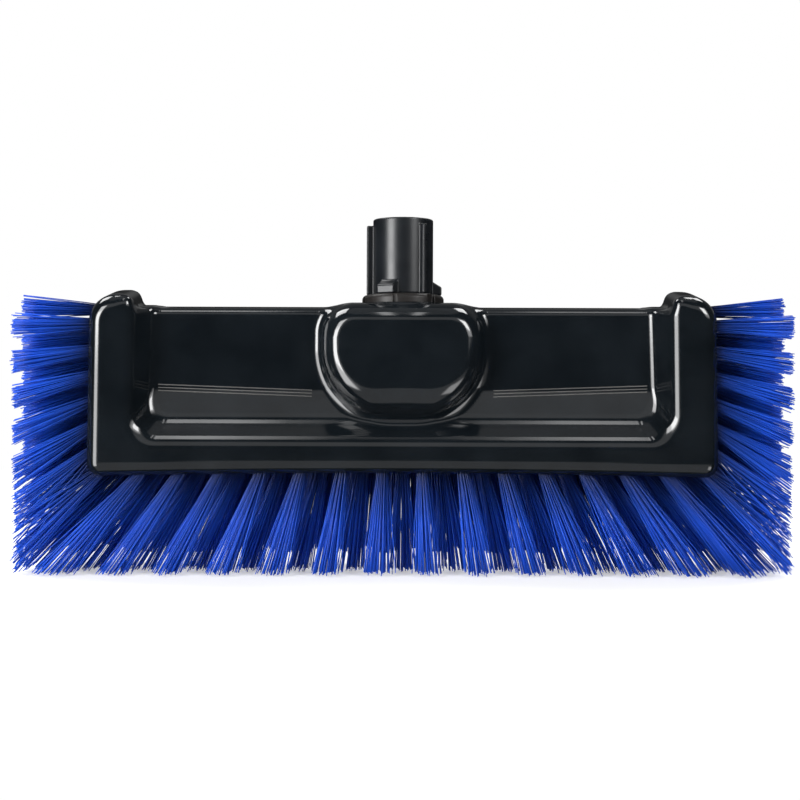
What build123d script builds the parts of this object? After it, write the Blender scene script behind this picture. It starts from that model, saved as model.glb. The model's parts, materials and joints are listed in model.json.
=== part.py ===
from build123d import *

import os
from math import cos, radians, sin

# Pool wall brush: a moulded block with bristle tufts along its bottom and both ends, and a spigot
# for a pole that screws into the block's boss. Millimetres and degrees. X runs along the block,
# -Y is its front and +Z is up. The tips of the bottom bristles stand on Z = 0.

# Block
BLOCK_WIDTH = 250.0
BLOCK_HEIGHT = 72.4
BLOCK_DEPTH = 41.0
SIDE_LEAN = 1.7  # each end leans in by this much from the bottom to the top
BOTTOM_ARCH = 1.5  # rise of the bottom edge at mid width
BOTTOM_CORNER_RADIUS = 6.0
ARM_CORNER_RADIUS = 11.0
OUTER_EDGE_RADIUS = 5.5

# U-shaped rim around the recesses
ARM_WIDTH = 17.1
NOTCH_INSET = 1.2  # the notch between the arms stands in from the rim by this at each end
BAR_HEIGHT = 15.0
WALL_RUN = 8.0  # how far a recess's end wall comes in from the rim to the web
INNER_EDGE_RADIUS = 2.0
ARM_INNER_RADIUS = 5.5
NOTCH_FOOT_RADIUS = 2.5

# Web
WEB_DROP = 6.1  # web's top edge below the arms' ends
WEB_TOP_THICKNESS = 15.0
WEB_BEND_THICKNESS = 17.0
WEB_BEND_HEIGHT = 35.0  # above the block's bottom
WEB_FOOT_THICKNESS = 23.0
WEB_FOOT_HEIGHT = 22.0
RECESS_RADIUS = 4.0
RECESS_CORNER_RADIUS = 6.0  # between the recess's end wall and the bar

# Boss
BOSS_LEAN = 8.0  # the handle's axis leans back from upright
MOUTH_STAND = 0.75  # mouth's centre above the web's top edge
BOSS_DEPTH = 46.0
BOSS_WIDTH = 54.4  # of its flat front and back, before their edges are rounded
BOSS_LENGTH = 38.5  # of the same faces, below the mouth
BOSS_BOTTOM_RADIUS = 19.6  # of the same faces' U outline
BOSS_DRAFT = 8.4  # how far the outline grows from the front to the middle of the depth
BOSS_EDGE_RADIUS = 8.5
BOSS_SHOULDER_RADIUS = 5.0
BOSS_FOOT_RADIUS = 3.0

# Adaptor and collar
SPIGOT_DIAMETER = 24.0
SPIGOT_LENGTH = 30.4
SPIGOT_WALL = 2.8
SPIGOT_FLOOR = 4.0
SPIGOT_EDGE_RADIUS = 0.7
SHANK_DIAMETER = 19.05
SHANK_LENGTH = 20.3  # below the boss's mouth
SHANK_CHAMFER = 1.5
SHANK_CLEARANCE = 0.06
SOCKET_RUNOUT = 2.0
RIB_COUNT = 3
RIB_WIDTH = 1.9
RIB_HEIGHT = 2.6
RIB_TOP_GAP = 2.6
RIB_TOP_CHAMFER = 1.2
RIB_ANGLE = 37.0  # first rib, from the front towards +X
LUG_WIDTH = 7.4
LUG_REACH = 3.3
LUG_HEIGHT = 5.2
LUG_CREST = 3.2
LUG_ANGLE = -28.0
COLLAR_DIAMETER = 32.6
COLLAR_THICKNESS = 4.0
COLLAR_EDGE_RADIUS = 1.9
NOTCH_WIDTH = 3.6
NOTCH_DEPTH = 1.4
NOTCH_ANGLE = 44.0
TICK_WIDTH = 1.4
TICK_DEPTH = 0.8
TICK_ANGLE = -11.0

# Bristle tufts
TRIM_BELOW = 39.0  # tips below the block's bottom
TRIM_BESIDE = 29.5  # tips outside the block's ends
ROW_COUNT = 4
ROW_PITCH = 9.4
ROW_FAN = 2.6  # lean of each row away from the middle, per row pitch
ROW_PHASES = (0.0, 0.5, 0.25, 0.75)  # how far along its pitch each row starts, from the front
BOTTOM_TRIMS = (0.0, 0.0, 5.5, 5.5)  # how much shorter each row is trimmed below the block
SIDE_TRIMS = (0.0, 2.6, 4.0, 4.0)  # and beside its ends
BOTTOM_END_GAP = 4.25  # between the block's end and the first tuft of the front row
BOTTOM_COUNT = 16  # in the front row, with one fewer in each row behind
BOTTOM_FAN = 0.384  # lean per millimetre from mid width
CORNER_DROP = 0.6  # how far round the corner the outermost bottom tufts sit
SIDE_COUNT = 6  # in each of the two front rows, with one fewer in the two behind
SIDE_TOP_GAP = 12.0  # below the block's top
SIDE_BOTTOM_HEIGHT = 8.6  # above the block's bottom
SIDE_TOP_LEAN = 1.0  # below level
SIDE_BOTTOM_LEAN = 36.0
HOLE_DIAMETER = 4.4
HOLE_DEPTH = 11.0
HOLE_CLEARANCE = 0.04
ROOT_STRAIGHT = 2.4
TIP_DIAMETER = 11.2  # of an untrimmed tuft
TIP_SPREAD_LENGTH = 54.0

# Wire anchors
ANCHOR_LENGTH = 6.2
ANCHOR_HEIGHT = 2.2
ANCHOR_THICKNESS = 0.5
ANCHOR_FIT = 0.02

# Derived sizes and places
BLOCK_BOTTOM = TRIM_BELOW
BLOCK_TOP = BLOCK_BOTTOM + BLOCK_HEIGHT
HALF_WIDTH = BLOCK_WIDTH / 2
HALF_DEPTH = BLOCK_DEPTH / 2
WEB_TOP = BLOCK_TOP - WEB_DROP
BAR_TOP = BLOCK_BOTTOM + BAR_HEIGHT
SIDE_TOP_HEIGHT = BLOCK_HEIGHT - SIDE_TOP_GAP
BOTTOM_PITCH = (BLOCK_WIDTH - 2 * BOTTOM_END_GAP) / (BOTTOM_COUNT - 1)
ARM_INSIDE_LOW = HALF_WIDTH - ARM_WIDTH
ARM_INSIDE_HIGH = HALF_WIDTH - SIDE_LEAN - ARM_WIDTH
NOTCH_INSIDE = ARM_INSIDE_HIGH - NOTCH_INSET
PAST = 2.0  # how far a cutting tool runs past the face it opens
NEAR = 0.02  # edges and corners this close count as being in one place
AXIS_LEAN = radians(BOSS_LEAN)
MOUTH_BACK = (BOSS_LENGTH + BOSS_DRAFT) / 2 * sin(AXIS_LEAN)
MOUTH = Plane(
    origin=(0, MOUTH_BACK, WEB_TOP + MOUTH_STAND),
    x_dir=(1, 0, 0),
    z_dir=(0, sin(AXIS_LEAN), cos(AXIS_LEAN)),
)


def along(shape, axis):
    """The shape's straight edges parallel to the axis."""
    return shape.edges().filter_by(GeomType.LINE).filter_by(axis)


def prism(points, plane, low, high):
    """The polygon, drawn on the plane, as a prism from low to high along the plane's normal."""
    face = make_face(Polyline(*points, close=True))
    return extrude(plane.offset(low) * face, high - low)


def block_outline():
    """The block's full depth with its arched bottom and the notch between the arms."""
    bottom = ThreePointArc(
        (-HALF_WIDTH, BLOCK_BOTTOM),
        (0, BLOCK_BOTTOM + BOTTOM_ARCH),
        (HALF_WIDTH, BLOCK_BOTTOM),
    )
    rest = Polyline(
        (HALF_WIDTH, BLOCK_BOTTOM),
        (HALF_WIDTH - SIDE_LEAN, BLOCK_TOP),
        (NOTCH_INSIDE, BLOCK_TOP),
        (NOTCH_INSIDE, WEB_TOP),
        (-NOTCH_INSIDE, WEB_TOP),
        (-NOTCH_INSIDE, BLOCK_TOP),
        (-HALF_WIDTH + SIDE_LEAN, BLOCK_TOP),
        (-HALF_WIDTH, BLOCK_BOTTOM),
    )
    body = extrude(Plane.XZ * make_face([bottom, rest]), HALF_DEPTH, both=True)
    corners = along(body, Axis.Y)
    low = [e for e in corners if e.center().Z < BAR_TOP]
    arm_ends = [e for e in corners if e.center().Z > WEB_TOP + NEAR]
    arm_outside = [e for e in arm_ends if abs(e.center().X) > NOTCH_INSIDE + NEAR]
    arm_inside = [e for e in arm_ends if abs(e.center().X) < NOTCH_INSIDE + NEAR]
    notch_foot = [e for e in corners if abs(e.center().Z - WEB_TOP) < NEAR]
    body = fillet(low, BOTTOM_CORNER_RADIUS)
    body = fillet(matching(body, arm_outside), ARM_CORNER_RADIUS)
    body = fillet(matching(body, arm_inside), ARM_INNER_RADIUS)
    return fillet(matching(body, notch_foot), NOTCH_FOOT_RADIUS)


def matching(shape, edges):
    """The edges of shape whose middles lie where those of the given edges lay."""
    return [e for e in shape.edges() for old in edges if (e.center() - old.center()).length < NEAR]


def inner_edges(tool):
    """The recess tool's edges that lie inside the block, not in the faces that it opens."""
    front = -HALF_DEPTH + NEAR
    top = BLOCK_TOP + PAST - NEAR
    edges = tool.edges()
    return [
        e for e in edges if any(v.Y > front for v in e.vertices()) and any(v.Z < top for v in e.vertices())
    ]


def recess_tool():
    """What the front recess takes out of the block, with rounded corners inside."""
    front = -HALF_DEPTH
    profile = [
        (front - PAST, BAR_TOP),
        (front, BAR_TOP),
        (-WEB_FOOT_THICKNESS / 2, BLOCK_BOTTOM + WEB_FOOT_HEIGHT),
        (-WEB_BEND_THICKNESS / 2, BLOCK_BOTTOM + WEB_BEND_HEIGHT),
        (-WEB_TOP_THICKNESS / 2, BLOCK_TOP + PAST),
        (front - PAST, BLOCK_TOP + PAST),
    ]
    lengthwise = prism(profile, Plane.YZ, -HALF_WIDTH, HALF_WIDTH)
    web_front = -WEB_TOP_THICKNESS / 2
    slope = WALL_RUN / (web_front - front)
    sections = []
    for height, inside in ((BAR_TOP - PAST, ARM_INSIDE_LOW), (BLOCK_TOP + PAST, ARM_INSIDE_HIGH)):
        mouth = inside + slope * PAST
        foot = inside - WALL_RUN - slope * PAST
        corners = [
            (-mouth, front - PAST),
            (mouth, front - PAST),
            (foot, web_front + PAST),
            (-foot, web_front + PAST),
        ]
        sections.append(Plane.XY.offset(height) * make_face(Polyline(*corners, close=True)))
    tool = lengthwise & loft(sections, ruled=True)
    bar_corners = [e for e in inner_edges(tool) if any(v.Y < front + NEAR for v in e.vertices())]
    tool = fillet(bar_corners, RECESS_CORNER_RADIUS)
    return fillet(inner_edges(tool), RECESS_RADIUS)


def boss_section(back, growth):
    """The boss's U outline, that far back from the handle's axis and grown outwards by that much."""
    side = BOSS_WIDTH / 2 + growth
    bottom = -BOSS_LENGTH - growth
    radius = BOSS_BOTTOM_RADIUS + growth
    middle = radius * (1 - sin(radians(45)))
    outline = [
        Line((side, 0), (-side, 0)),
        Line((-side, 0), (-side, bottom + radius)),
        ThreePointArc(
            (-side, bottom + radius), (-side + middle, bottom + middle), (-side + radius, bottom)
        ),
        Line((-side + radius, bottom), (side - radius, bottom)),
        ThreePointArc((side - radius, bottom), (side - middle, bottom + middle), (side, bottom + radius)),
        Line((side, bottom + radius), (side, 0)),
    ]
    return Plane.XZ.offset(-back) * make_face(outline)


def boss():
    """The leaning U-shaped boss with its drafted sides, on the handle's axis."""
    half = BOSS_DEPTH / 2
    sections = [boss_section(-half, 0), boss_section(0, BOSS_DRAFT), boss_section(half, 0)]
    body = loft(sections, ruled=True)
    faces = [e for e in body.edges() if all(abs(abs(v.Y) - half) < NEAR for v in e.vertices())]
    body = fillet([e for e in faces if e.center().Z < -NEAR], BOSS_EDGE_RADIUS)
    shoulder = [e for e in body.edges() if abs(e.center().Z) < NEAR]
    return MOUTH * fillet(shoulder, BOSS_SHOULDER_RADIUS)


def on_rim(edge):
    """True if the edge lies in the rim's flat front or back."""
    return all(abs(abs(v.Y) - HALF_DEPTH) < NEAR for v in edge.vertices())


def beside_recess(edge):
    """True if the edge runs along a recess and not round the block's outside."""
    middle = edge.center()
    return middle.Z > BAR_TOP - NEAR and abs(middle.X) < ARM_INSIDE_LOW + NEAR


def is_new(edge, old_edges):
    """True if no old edge has its middle where this edge has it."""
    return all((edge.center() - old.center()).length > NEAR for old in old_edges)


def block_body():
    """The moulding without its socket and tuft holes."""
    body = block_outline()
    tool = recess_tool()
    body = body - tool - mirror(tool, Plane.XZ)
    arm_ends = BLOCK_TOP - ARM_INNER_RADIUS
    outside = [e for e in body.edges() if on_rim(e) and (not beside_recess(e) or e.center().Z > arm_ends)]
    body = fillet(outside, OUTER_EDGE_RADIUS)
    inside = [e for e in body.edges() if on_rim(e) and beside_recess(e) and e.center().Z < arm_ends]
    body = fillet(inside, INNER_EDGE_RADIUS)
    knob = boss()
    old_edges = body.edges() + knob.edges()
    body = body + knob
    beside_boss = BOSS_WIDTH / 2 + BOSS_DRAFT + BOSS_FOOT_RADIUS
    seam = [e for e in body.edges() if is_new(e, old_edges) and abs(e.center().X) < beside_boss]
    return fillet(seam, BOSS_FOOT_RADIUS)


def side_height(index):
    """Height of a tuft on the ends, counted up from the lowest; halves fall between two tufts."""
    step = (SIDE_TOP_HEIGHT - SIDE_BOTTOM_HEIGHT) / (SIDE_COUNT - 1)
    return BLOCK_BOTTOM + SIDE_BOTTOM_HEIGHT + step * index


def bottom_height(x):
    """Height of the arched bottom, and of the rounded corners at its ends."""
    arch = BOTTOM_ARCH * (1 - (x / HALF_WIDTH) ** 2)
    round_start = HALF_WIDTH - BOTTOM_CORNER_RADIUS
    corner = CORNER_DROP if abs(x) > round_start else 0.0
    return BLOCK_BOTTOM + arch + corner


def tuft_planes(row):
    """Each tuft's place by name: a plane on the block's surface whose normal runs along the tuft."""
    y = (row - (ROW_COUNT - 1) / 2) * ROW_PITCH
    fan = radians((row - (ROW_COUNT - 1) / 2) * ROW_FAN)
    phase = ROW_PHASES[row]
    places = {}
    for index in range(BOTTOM_COUNT if phase == 0 else BOTTOM_COUNT - 1):
        x = (index + phase - (BOTTOM_COUNT - 1) / 2) * BOTTOM_PITCH
        lean = radians(BOTTOM_FAN * x)
        along_tuft = Vector(sin(lean) * cos(fan), sin(fan), -cos(lean) * cos(fan))
        places[f"bottom_{index + 1:02d}"] = Plane((x, y, bottom_height(x)), (0, 1, 0), along_tuft)
    for side, sign in (("left", -1), ("right", 1)):
        for index in range(SIDE_COUNT - row // 2):
            z = side_height(index + phase)
            share = (z - side_height(0)) / (side_height(SIDE_COUNT - 1) - side_height(0))
            lean = radians(SIDE_BOTTOM_LEAN + share * (SIDE_TOP_LEAN - SIDE_BOTTOM_LEAN))
            x = sign * (HALF_WIDTH - SIDE_LEAN * (z - BLOCK_BOTTOM) / BLOCK_HEIGHT)
            along_tuft = Vector(sign * cos(lean) * cos(fan), sin(fan), -sin(lean) * cos(fan))
            places[f"{side}_{index + 1}"] = Plane((x, y, z), (0, 1, 0), along_tuft)
    return places


def hole(plane):
    """The blind hole of one tuft, opened past the surface."""
    radius = HOLE_DIAMETER / 2
    return plane.offset(-HOLE_DEPTH) * extrude(Circle(radius), HOLE_DEPTH + ROOT_STRAIGHT)


def anchor(plane, fit=0.0):
    """The flat wire staple under one tuft, across the floor of its hole, grown by the fit."""
    staple = Box(ANCHOR_LENGTH + 2 * fit, ANCHOR_THICKNESS + 2 * fit, ANCHOR_HEIGHT + 2 * fit)
    middle = ANCHOR_FIT + ANCHOR_HEIGHT / 2
    return plane.offset(middle - HOLE_DEPTH) * staple


def tuft(plane, trim):
    """One tuft: straight in its hole down to its staple, and widening to its trimmed tip."""
    root_radius = HOLE_DIAMETER / 2 - HOLE_CLEARANCE
    root_end = -HOLE_DEPTH + ANCHOR_HEIGHT + 2 * ANCHOR_FIT
    root = plane.offset(root_end) * extrude(Circle(root_radius), ROOT_STRAIGHT - root_end)
    spread = plane.offset(ROOT_STRAIGHT) * Cone(
        root_radius,
        TIP_DIAMETER / 2,
        TIP_SPREAD_LENGTH,
        align=(Align.CENTER, Align.CENTER, Align.MIN),
    )
    return (root + spread) & trim


def trim_box(row):
    """The box whose bottom and ends trim one row's tips."""
    half_reach = HALF_WIDTH + TRIM_BESIDE - SIDE_TRIMS[row]
    standing = (Align.CENTER, Align.CENTER, Align.MIN)
    return Pos(0, 0, BOTTOM_TRIMS[row]) * Box(2 * half_reach, 4 * BLOCK_DEPTH, 2 * BLOCK_TOP, align=standing)


def socket():
    """The hole in the boss for the adaptor's shank."""
    depth = SHANK_LENGTH + SOCKET_RUNOUT
    radius = SHANK_DIAMETER / 2 + SHANK_CLEARANCE
    return MOUTH.offset(-depth) * extrude(Circle(radius), depth + PAST)


def around(angle, count, shape):
    """Copies of the shape, drawn towards the front, turned evenly about the handle's axis."""
    return [Rot(0, 0, angle + 360 * k / count) * shape for k in range(count)]


def collar_ring():
    """The notched ring between the boss's mouth and the adaptor's spigot."""
    outside = COLLAR_DIAMETER / 2
    ring = extrude(Circle(outside) - Circle(SHANK_DIAMETER / 2 + SHANK_CLEARANCE), COLLAR_THICKNESS)
    rim = ring.edges().filter_by(GeomType.CIRCLE).group_by(SortBy.RADIUS)[-1]
    ring = fillet(rim, COLLAR_EDGE_RADIUS)
    for angle, width, depth in (
        (NOTCH_ANGLE, NOTCH_WIDTH, NOTCH_DEPTH),
        (TICK_ANGLE, TICK_WIDTH, TICK_DEPTH),
    ):
        cut = Pos(0, -outside, 0) * Box(width, 2 * depth, 3 * COLLAR_THICKNESS)
        ring = ring - around(angle, RIB_COUNT, cut)
    return MOUTH * ring


def handle_adaptor():
    """The hollow spigot with its ribs and lugs, and the shank below it."""
    radius = SPIGOT_DIAMETER / 2
    base = COLLAR_THICKNESS
    top = base + SPIGOT_LENGTH
    tube = Pos(0, 0, base) * extrude(Circle(radius), SPIGOT_LENGTH)
    tube = fillet(tube.edges().sort_by(Axis.Z)[-1], SPIGOT_EDGE_RADIUS)
    rib_top = SPIGOT_LENGTH - RIB_TOP_GAP
    rib_profile = [
        (-radius + SPIGOT_WALL / 2, base),
        (-radius - RIB_HEIGHT, base),
        (-radius - RIB_HEIGHT, base + rib_top - RIB_TOP_CHAMFER),
        (-radius, base + rib_top),
        (-radius + SPIGOT_WALL / 2, base + rib_top),
    ]
    rib = prism(rib_profile, Plane.YZ, -RIB_WIDTH / 2, RIB_WIDTH / 2)
    lug_profile = [
        (-radius + SPIGOT_WALL / 2, base),
        (-radius - LUG_REACH, base),
        (-radius - LUG_REACH, base + LUG_CREST),
        (-radius, base + LUG_HEIGHT),
        (-radius + SPIGOT_WALL / 2, base + LUG_HEIGHT),
    ]
    lug = prism(lug_profile, Plane.YZ, -LUG_WIDTH / 2, LUG_WIDTH / 2)
    for angle, shape in ((RIB_ANGLE, rib), (LUG_ANGLE, lug)):
        for copy in around(angle, RIB_COUNT, shape):
            tube = tube + copy
    bore = Pos(0, 0, base + SPIGOT_FLOOR) * extrude(Circle(radius - SPIGOT_WALL), SPIGOT_LENGTH)
    shank = Pos(0, 0, -SHANK_LENGTH) * extrude(Circle(SHANK_DIAMETER / 2), SHANK_LENGTH + base)
    shank = chamfer(shank.edges().sort_by(Axis.Z)[0], SHANK_CHAMFER)
    return MOUTH * (tube - bore + shank)


def build():
    """Every node of the brush, in the working frame with the block's middle on Y = 0."""
    nodes = {}
    block = block_body() - socket()
    for row in range(ROW_COUNT):
        places = tuft_planes(row)
        anchors = [anchor(plane) for plane in places.values()]
        block = block - [hole(plane) for plane in places.values()]
        block = block - [anchor(plane, ANCHOR_FIT) for plane in places.values()]
        trim = trim_box(row)
        groups = {}
        for place, plane in places.items():
            piece = tuft(plane, trim)
            if row == 0:
                nodes[f"front_tuft_{place}"] = piece
            else:
                zone = place.split("_")[0]
                groups.setdefault(f"row_{row + 1}_tufts_{zone}", []).append(piece)
        for name, pieces in groups.items():
            nodes[name] = Compound(children=pieces)
        nodes[f"row_{row + 1}_wire_anchors"] = Compound(children=anchors)
    nodes["brush_block"] = block
    nodes["collar_ring"] = collar_ring()
    nodes["handle_adaptor"] = handle_adaptor()
    return nodes


def main():
    """Write each node, moved so that the brush's box stands centred on the origin."""
    os.makedirs("parts", exist_ok=True)
    nodes = build()
    box = Compound(list(nodes.values())).bounding_box()
    to_origin = Pos(-box.center().X, -box.center().Y, -box.min.Z)
    for name, shape in nodes.items():
        export_step(to_origin * shape, f"parts/{name}.step")
    print("nodes", len(nodes), "box", box.min, box.max, "shift", to_origin.position)


main()
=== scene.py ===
import json
import math

import bpy
import numpy as np
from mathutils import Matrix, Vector


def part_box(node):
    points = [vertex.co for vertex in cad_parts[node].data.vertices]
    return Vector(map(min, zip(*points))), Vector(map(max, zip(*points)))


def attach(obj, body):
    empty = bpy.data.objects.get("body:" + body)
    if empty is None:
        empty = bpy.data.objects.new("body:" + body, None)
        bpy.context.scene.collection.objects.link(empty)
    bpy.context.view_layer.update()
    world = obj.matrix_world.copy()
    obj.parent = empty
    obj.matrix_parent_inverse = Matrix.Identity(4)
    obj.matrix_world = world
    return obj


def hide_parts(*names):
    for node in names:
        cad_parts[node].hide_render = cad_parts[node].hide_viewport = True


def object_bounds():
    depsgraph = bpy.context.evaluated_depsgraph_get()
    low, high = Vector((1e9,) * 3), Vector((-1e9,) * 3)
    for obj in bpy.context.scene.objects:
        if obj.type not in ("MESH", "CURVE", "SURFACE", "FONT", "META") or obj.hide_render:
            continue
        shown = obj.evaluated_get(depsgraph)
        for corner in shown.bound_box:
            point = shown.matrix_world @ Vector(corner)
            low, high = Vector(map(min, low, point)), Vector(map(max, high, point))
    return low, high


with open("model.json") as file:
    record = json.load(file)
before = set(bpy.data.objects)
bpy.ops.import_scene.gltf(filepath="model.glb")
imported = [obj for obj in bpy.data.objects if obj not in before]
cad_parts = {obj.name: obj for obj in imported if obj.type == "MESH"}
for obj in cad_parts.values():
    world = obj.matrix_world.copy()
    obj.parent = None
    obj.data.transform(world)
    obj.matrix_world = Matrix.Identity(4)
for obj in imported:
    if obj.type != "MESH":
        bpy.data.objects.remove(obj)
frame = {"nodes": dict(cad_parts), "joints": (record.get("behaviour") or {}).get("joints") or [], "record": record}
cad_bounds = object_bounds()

# Pool wall brush. The moulded pieces are made as smooth skins over distance functions, in
# millimetres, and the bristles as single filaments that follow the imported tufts. Objects are in
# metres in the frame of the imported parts.

MM = 0.001
random = np.random.default_rng(7)

# ---------------------------------------------------------------------------------------------
# Places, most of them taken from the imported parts


def box_mm(node):
    """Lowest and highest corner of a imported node, in millimetres."""
    low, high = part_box(node)
    return np.array(low) / MM, np.array(high) / MM


joint = {entry["name"]: entry for entry in frame["joints"]}
AXIS = np.array(joint["adaptor_turn"]["axis"], float)
AXIS /= np.linalg.norm(AXIS)
AXIS_BACK = np.cross(AXIS, (1.0, 0.0, 0.0))
MOUTH = np.array(joint["adaptor_turn"]["pos_m"], float) / MM  # middle of the boss's mouth
THREAD_PITCH = joint["adaptor_rise"]["range_m"][1] / MM / (joint["adaptor_turn"]["range_deg"][1] / 360)

block_low, block_high = box_mm("brush_block")
BOTTOM = block_low[2]
HEIGHT = block_high[2] - BOTTOM
HALF_WIDTH = 125.0
HALF_DEPTH = 20.5
AXIS_CROSSING = 23.45  # how far below the mouth the handle's axis crosses the block's middle plane
MIDDLE_Y = MOUTH[1] - AXIS_CROSSING * AXIS[1]


# ---------------------------------------------------------------------------------------------
# Distance functions: negative inside, in millimetres


def length2(a, b):
    """The length of the vector with these two parts."""
    return np.sqrt(a * a + b * b)


def joined(a, b, radius):
    """Two solids as one, with a fillet of the radius where they meet."""
    return np.maximum(radius, np.minimum(a, b)) - length2(
        np.maximum(radius - a, 0.0), np.maximum(radius - b, 0.0)
    )


def shared(a, b, radius):
    """What two solids share, with its edge rounded to the radius."""
    return np.minimum(-radius, np.maximum(a, b)) + length2(
        np.maximum(radius + a, 0.0), np.maximum(radius + b, 0.0)
    )


def without(a, b, radius):
    """The first solid without the second, with its edge rounded to the radius."""
    return shared(a, -b, radius)


def rounded_box(a, b, radius):
    """A corner between two half-planes at distances a and b, rounded to the radius."""
    outside = length2(np.maximum(a + radius, 0.0), np.maximum(b + radius, 0.0))
    return np.minimum(np.maximum(a, b) + radius, 0.0) + outside - radius


def slab_line(offset, height, point_a, point_b):
    """Distance from a wall that runs through two points of a section, positive outside it."""
    (offset_a, height_a), (offset_b, height_b) = point_a, point_b
    run, rise = offset_b - offset_a, height_b - height_a
    return ((offset - offset_a) * rise - (height - height_a) * run) / math.hypot(run, rise)


def handle_coordinates(x, y, z):
    """Across, back and along the handle's axis, from the middle of the boss's mouth."""
    dy = y - MOUTH[1]
    dz = z - MOUTH[2]
    along = dy * AXIS[1] + dz * AXIS[2]
    back = dy * AXIS_BACK[1] + dz * AXIS_BACK[2]
    return x, back, along


# The rim: two arms and the bar between their feet. Heights are above the block's bottom.
SIDE_LEAN = 1.7  # how much further in each side is at the top
BOTTOM_ARCH = 1.5  # rise of the bottom in the middle
BOTTOM_CORNER = 6.0
ARM_WIDTH = 17.1
ARM_CORNER = 11.0
ARM_INNER_CORNER = 5.5
NOTCH_INSET = 1.2  # the notch over the web ends this far short of the recess's mouth
NOTCH_FOOT = 2.5
BAR_HEIGHT = 15.0
WALL_RUN = 8.0  # how far the recess's side walls slope in
RECESS_CORNER = 8.0
INNER_EDGE = 2.6
OUTER_EDGE = 5.8
SHARP_FROM = 30.0  # the outer edge gets sharper above this height
SHARP_RISE = 20.0  # and is sharpest this much higher
SHARP_REACH = 8.0  # but only this far from the notch

# The web between the arms: half its thickness at the top, at the bend and at the foot
WEB_DROP = 6.1  # its top edge lies this far below the arms' tops
WEB_TOP_HALF = 7.5
WEB_BEND_HALF = 8.5
WEB_BEND_HEIGHT = 35.0
WEB_BEND_RADIUS = 0.3
WEB_FOOT_HALF = 11.5
WEB_FOOT_HEIGHT = 22.0
WEB_EDGE = 2.6
WEB_FILLET = 2.0
BAR_FILLET = 1.5
BAR_FILLET_REACH = 8.0  # above the web's foot, over which the fillet grows to the web's

# The boss round the handle's socket. Its draft is how much it grows per millimetre towards the web.
BOSS_HALF_DEPTH = 23.0
BOSS_HALF_WIDTH = 30.7
BOSS_LENGTH = 39.0
BOSS_BOTTOM = 21.0  # radius of the round lower corners of its outline
BOSS_SHOULDER = 12.0  # of the top corners of its outline
BOSS_SIDE_DRAFT = 0.06
BOSS_LOW_DRAFT = 0.56
BOSS_CURVE = 130.0  # radius of its gently curved front
BOSS_SIDE_EDGE = 5.5  # radii of the edge round its front, at the sides, the bottom and the top
BOSS_LOW_EDGE = 6.0
BOSS_TOP_EDGE = 10.0
BOSS_LOW_START = 16.0  # below the mouth, where the edge starts to change to the bottom's radius
BOSS_LOW_RUN = 18.0
BOSS_TOP_RUN = 14.0  # below the mouth, over which the edge changes from the top's radius
BOSS_FILLET = 4.4
SEAT_RADIUS = 17.0  # flat ring on its top, under the collar
SEAT_HEIGHT = 3.0
SEAT_EDGE = 0.6
SEAT_FILLET = 1.5
SOCKET_RADIUS = 9.6
SOCKET_DEPTH = 22.3
SOCKET_EDGE = 0.6


def outline_distance(across, up, half_width):
    """The block's outline as seen from the front, before the notch is cut."""
    floor = BOTTOM_ARCH * (1.0 - (across / HALF_WIDTH) ** 2)
    low_corner = rounded_box(across - half_width, floor - up, BOTTOM_CORNER)
    high_corner = rounded_box(across - half_width, up - HEIGHT, ARM_CORNER)
    return np.maximum(low_corner, high_corner)


def rim_distance(across, depth, up, outline, inside):
    """The arms and the bar: the outline without the notch over the web and the two recesses."""
    from_notch = across - inside + NOTCH_INSET
    notch = rounded_box(from_notch, HEIGHT - WEB_DROP - up, NOTCH_FOOT)
    arms = without(outline, notch, ARM_INNER_CORNER)
    high = np.clip((up - SHARP_FROM) / SHARP_RISE, 0.0, 1.0)
    near_notch = np.clip(1.0 - from_notch / SHARP_REACH, 0.0, 1.0)
    edge = OUTER_EDGE + (INNER_EDGE - OUTER_EDGE) * (high * near_notch)
    outer = rounded_box(arms, depth - HALF_DEPTH, edge)

    side_slope = WALL_RUN / (HALF_DEPTH - WEB_TOP_HALF)
    side_wall = (across - inside + side_slope * (HALF_DEPTH - depth)) / math.hypot(1.0, side_slope)
    bar_wall = slab_line(depth, up, (HALF_DEPTH, BAR_HEIGHT), (WEB_FOOT_HALF, WEB_FOOT_HEIGHT))
    recess = rounded_box(side_wall, -bar_wall, RECESS_CORNER)
    return without(outer, recess, INNER_EDGE)


def web_distance(depth, up, outline):
    """The thin wall between the arms, with a bend in it, kept inside the outline."""
    upper = slab_line(depth, up, (WEB_BEND_HALF, WEB_BEND_HEIGHT), (WEB_TOP_HALF, HEIGHT))
    lower = slab_line(depth, up, (WEB_FOOT_HALF, WEB_FOOT_HEIGHT), (WEB_BEND_HALF, WEB_BEND_HEIGHT))
    face = joined(upper, lower, WEB_BEND_RADIUS)
    web = shared(face, up - HEIGHT + WEB_DROP, WEB_EDGE)
    return np.maximum(web, outline + OUTER_EDGE)


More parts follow.
